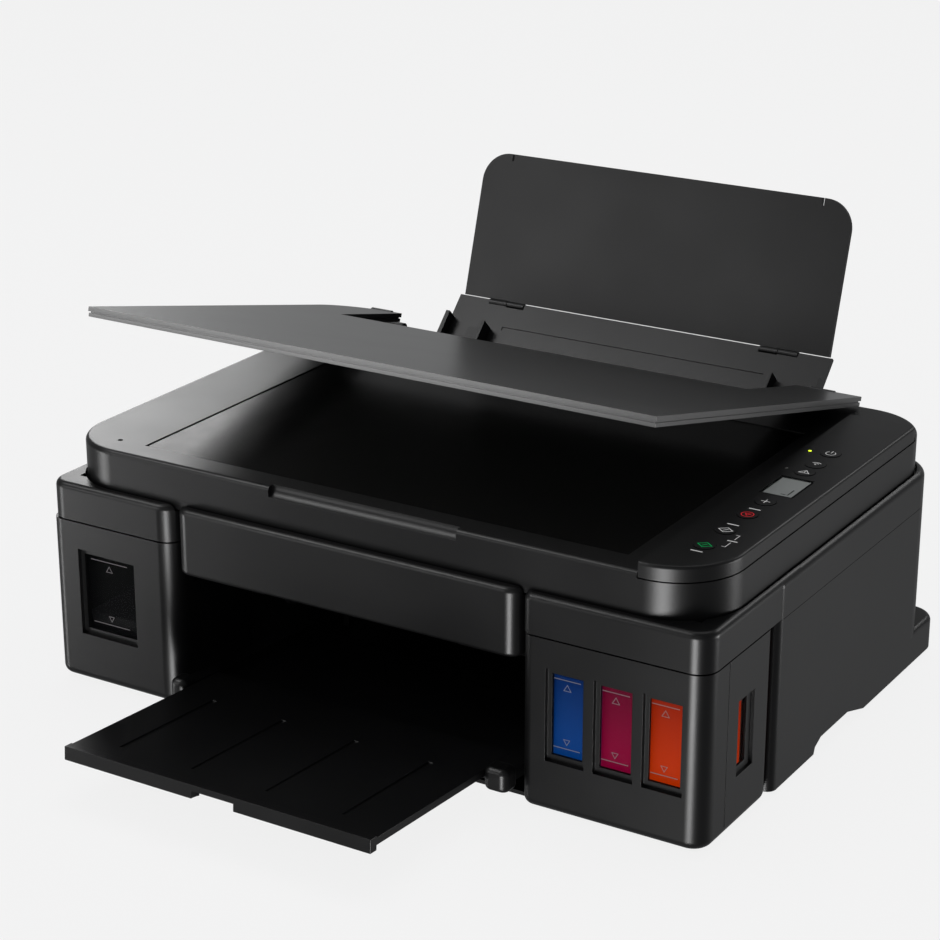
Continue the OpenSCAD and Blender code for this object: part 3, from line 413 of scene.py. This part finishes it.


# the white, red, green and level inks glow: painted light that makes the marks brighter than the
# lamps light them; the dark ink does not glow
white_ink_painted_glow = printed_ink("printed_white_painted_glow", "#dcdcdc", 0.22)
red_ink_painted_glow = printed_ink("printed_red_painted_glow", "#d84550", 0.25)
green_ink_painted_glow = printed_ink("printed_green_painted_glow", "#0fae6c", 0.35)
level_ink_painted_glow = printed_ink("printed_level_painted_glow", "#b4b0b2", 0.16)
dark_ink = printed_ink("printed_dark", "#161718")
dress("tank_windows", clear_plastic("polycarbonate_clear", "#101214", 0.05, 0.08, 0.2))
dress("ink_tanks", clear_plastic("polypropylene_clear", "#303233", 0.04, 0.35, 0.1))
dress("ink_cyan", ink_with_painted_glow("ink_cyan", "#054592", "#031f52"))
dress("ink_magenta", ink_with_painted_glow("ink_magenta", "#96003a", "#5a0022"))
dress("ink_yellow", ink_with_painted_glow("ink_yellow", "#d43a00", "#8e1a00"))
dress("ink_black", ink_with_painted_glow("ink_black", "#060607", "#0a0a0b"))
for colour, code in (("cyan", "#0b4f9e"), ("magenta", "#a31257"), ("yellow", "#d9a400"),
                     ("black", "#1b1b1d")):
    dress("cap_" + colour, moulded_rubber("cap_rubber_" + colour, code, 0.6))
# full and low marks on each pane: a line and an open triangle
low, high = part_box("tank_windows")
for colour, half in (("cyan", 8.0), ("magenta", 8.0), ("yellow", 8.0), ("black", 13.5)):
    edge = Vector((top_of("cap_" + colour).x, low.y, high.z))
    full = (stroke([(-half, -2.2), (half, -2.2)], 0.5)
            + stroke([(-2.2, -8.4), (0, -4.8), (2.2, -8.4)], 0.4, True))
    flat_mesh("mark_full_" + colour, full, edge, level_ink_painted_glow, "main", upright=True)
    edge.z = low.z
    least = (stroke([(-half, 5.4), (half, 5.4)], 0.5)
             + stroke([(-1.9, 10.8), (0, 7.6), (1.9, 10.8)], 0.4, True))
    flat_mesh("mark_low_" + colour, least, edge, level_ink_painted_glow, "main", upright=True)
dress("ink_tubes", clear_plastic("tube_elastomer", "#cfcfca", 0.45, 0.4))

# ---------------------------------------------------------------------------
# Print mechanism. A folded zinc-plated frame with a ground guide rod, the
# toothed belt and its motor, rollers, platen, purge unit and electronics.
# ---------------------------------------------------------------------------
BOARD_TOP = 0.0298  # above the board itself, so what stands there is its sockets

drawn_steel = plated_steel("drawn_steel_can", "#8e9094", 0.3, (1, 0.05, 1))
belt_rubber = moulded_rubber("belt_neoprene", "#101010", 0.7)
roller_rubber = moulded_rubber("roller_rubber", "#242425", 0.8)


def solder_mask(name):
    """Circuit board: green lacquer with a faint track pattern, and dark sockets on top of it."""
    made, tree, out = blank(name)
    place = add(tree, "TexCoord").outputs["Object"]
    tracks = add(tree, "TexVoronoi", {"Scale": 260.0, "distance": "CHEBYCHEV"},
                 {"Vector": place})
    tone = add(tree, "MixRGB", {"Color1": linear("#0d4a2a"), "Color2": linear("#14663a")},
               {"Fac": tracks.outputs["Distance"]})
    height = add(tree, "SeparateXYZ", {}, {"Vector": place})
    above = add(tree, "Math", {"operation": "GREATER_THAN"}, {"Value": height.outputs["Z"]})
    above.inputs[1].default_value = BOARD_TOP
    both = add(tree, "MixRGB", {"Color2": linear("#0b0b0c")},
               {"Fac": above.outputs[0], "Color1": tone.outputs["Color"]})
    shader = add(tree, "BsdfPrincipled", {"Roughness": 0.3}, {"Base Color": both.outputs["Color"]})
    tree.links.new(shader.outputs[0], out.inputs[0])
    return made


for name in ("chassis", "motor_pulley", "idler_pulley", "feed_pulley"):
    dress(name, zinc_steel)
for name in ("carriage_motor", "feed_motor"):
    dress(name, drawn_steel)
for name in ("carriage", "print_heads", "platen", "purge_unit", "power_supply", "power_inlet",
             "scan_bar"):
    dress(name, inner_abs)
dress("head_lock", moulded_plastic("lever_grey_abs", "#4a4a4d", 0.5))
for name in ("carriage_belt", "drive_belts"):
    dress(name, belt_rubber)
for name in ("feed_roller", "eject_roller", "pickup_roller"):
    dress(name, roller_rubber)
dress("main_board", solder_mask("solder_mask_green"))

# ---------------------------------------------------------------------------
# Scanner. A deep shell with a float-glass plate, closed by a damped cover
# with a white pad under it.
# ---------------------------------------------------------------------------
moulded("scanner_housing", case_abs)
moulded("document_cover", cover_abs, 0.0004)
# the glass is near black and almost opaque: painted shade that stands in for the dark inside of the
# scanner under it
dress("platen_glass", clear_plastic("float_glass_painted_dark", "#040404", 0.94, 0.22, 0.03))


def foam_sheet(name):
    """The cover pad: a smooth white sheet bonded to foam."""
    made, tree, out = blank(name)
    place = add(tree, "TexCoord").outputs["Object"]
    grain = add(tree, "TexNoise", {"Scale": 900.0}, {"Vector": place})
    bump = add(tree, "Bump", {"Strength": 0.05, "Distance": 0.0004},
               {"Height": grain.outputs["Fac"]})
    shader = add(tree, "BsdfPrincipled", {"Base Color": linear("#e9e9e6"), "Roughness": 0.6},
                 {"Normal": bump.outputs["Normal"]})
    tree.links.new(shader.outputs[0], out.inputs[0])
    return made


dress("cover_pad", foam_sheet("foam_sheet_white"))

# ---------------------------------------------------------------------------
# Control strip. A raised panel along the right of the scanner with a small
# liquid-crystal display, seven round keys and printed marks; the white, red
# and green marks have a painted glow.
# ---------------------------------------------------------------------------
LENS_RADIUS = 0.0011
LENS_FLATTEN = 0.35

moulded("control_panel", trim_abs, 0.0004)
dress("display", moulded_plastic("lcd_grey", "#7f8281", 0.35, depth=0.0, specular=0.2))
panel_z = top_of("control_panel").z
W = LINE_MM
DIAMOND = stroke([(4.2, 0), (0, 3.3), (-4.2, 0), (0, -3.3)], W, True)
START = DIAMOND + stroke([(-0.9, -1.3), (0.9, 1.3)], W)
DOT = [[(0.7, -0.4), (0, 0.3), (-0.7, -0.4), (0, -1.1)]]
KEY_MARKS = {
    "power": (white_ink_painted_glow, ring(2.9, W, 125, 415) + stroke([(0, 0.6), (0, 3.7)], W)),
    "wireless": (white_ink_painted_glow, ring(3.2, W, 35, 145) + ring(1.8, W, 35, 145) + DOT),
    "info": (white_ink_painted_glow, stroke([(-3.2, -2.0), (0, 2.4), (3.2, -2.0)], W, True)
             + stroke([(0, -1.1), (0, 0.7)], W)),
    "plus": (white_ink_painted_glow, stroke([(-2.5, 0), (2.5, 0)], W) + stroke([(0, -2.5), (0, 2.5)], W)),
    "stop": (red_ink_painted_glow, ring(3.5, W) + stroke([(-1.6, 1.1), (1.6, 1.1), (0, -1.7)], W, True)),
    "start_black": (white_ink_painted_glow, START),
    "start_color": (green_ink_painted_glow, START),
}
key_top = {}
for key, (ink, outlines) in KEY_MARKS.items():
    dress("button_" + key, trim_abs)
    key_top[key] = top_of("button_" + key)
    flat_mesh("mark_" + key, outlines, key_top[key], ink, "button_" + key)
# the display's dark bezel and a few dark segments
face = top_of("display")
flat_mesh("display_bezel",
          stroke([(-9.4, -14.2), (9.4, -14.2), (9.4, 14.2), (-9.4, 14.2)], 1.2, True),
          face, dark_ink, "scanner")
flat_mesh("display_segments",
          stroke([(5.5, -11), (5.5, -7.2)], 0.7) + stroke([(5.5, -6.4), (5.5, -2.6)], 0.7)
          + stroke([(1.6, -11), (3.8, -11)], 0.7), face, dark_ink, "scanner")
# a bracket joins the two start keys, and short bars stand where words would
between = (key_top["start_black"] + key_top["start_color"]) / 2
between.z = panel_z
flat_mesh("mark_bracket", stroke([(8.2, 9), (10.2, 9), (10.2, 2.5)], W * 0.8)
          + stroke([(8.2, -9), (10.2, -9), (10.2, -2.5)], W * 0.8)
          + stroke([(7.6, 0), (12.6, 0)], 1.0), between, white_ink_painted_glow, "scanner")
for key, rise in (("stop", 9.6), ("start_black", 9.6), ("start_color", -9.4)):
    spot = Vector((key_top[key].x, key_top[key].y, panel_z))
    flat_mesh("mark_bar_" + key, stroke([(-3.2, rise), (2.8, rise)], 1.0), spot, white_ink_painted_glow,
              "scanner")


def lamp_lens(name, key, dx, dy, colour, glow):
    """An indicator lamp: a small domed lens dx, dy millimetres from the middle of a key."""
    bpy.ops.object.select_all(action="DESELECT")
    bpy.ops.mesh.primitive_uv_sphere_add(segments=20, ring_count=10, radius=LENS_RADIUS)
    lens = bpy.context.object
    lens.name = name
    for v in lens.data.vertices:
        v.co.z *= LENS_FLATTEN
        v.co += Vector((key_top[key].x + dx / 1000, key_top[key].y + dy / 1000, panel_z))
    bpy.ops.object.shade_smooth()
    lens.data.materials.append(printed_ink(name + "_lens", colour, glow))
    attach(lens, "scanner")


lamp_lens("lamp_power", "power", -12.5, -1.5, "#c8e020", 1.6)
lamp_lens("lamp_alarm", "info", -12.0, 1.0, "#3a3a36", 0.0)

# ---------------------------------------------------------------------------
# Paper path. The rear tray and its folding support stand behind the case;
# the output tray slides out of the mouth with a pull-out extension.
# ---------------------------------------------------------------------------
for name in ("rear_tray", "paper_support", "output_tray", "tray_extension"):
    moulded(name, case_abs, 0.0004)
for name in ("guide_left", "guide_right"):
    moulded(name, trim_abs, 0.0003)
